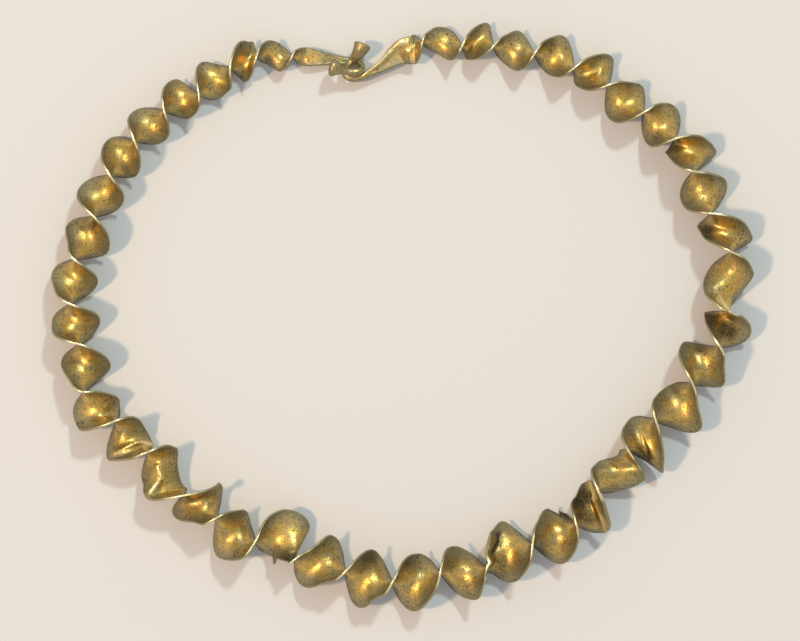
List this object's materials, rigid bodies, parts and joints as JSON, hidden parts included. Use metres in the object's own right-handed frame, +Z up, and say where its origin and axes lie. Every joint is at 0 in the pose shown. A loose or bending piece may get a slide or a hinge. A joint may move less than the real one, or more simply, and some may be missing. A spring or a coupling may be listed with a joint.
{
  "type": "twisted ribbon torc",
  "caption": "Neck ring of twisted gold strip, an open loop whose two ends are interlocked hooks; lies flat.",
  "frame": {"origin": "middle of the ring's box, on the surface that it lies on", "axes": "+X to the right across the ring's greatest width, +Y towards the clasp, +Z up through the ring's opening"},
  "size_m": [0.19, 0.1594, 0.0159],
  "materials": {
    "gold": "old burnished gold, dull olive brown where dirty"
  },
  "bodies": {
    "root": {"twisted_ribbon": "gold"}
  },
  "joints": []
}
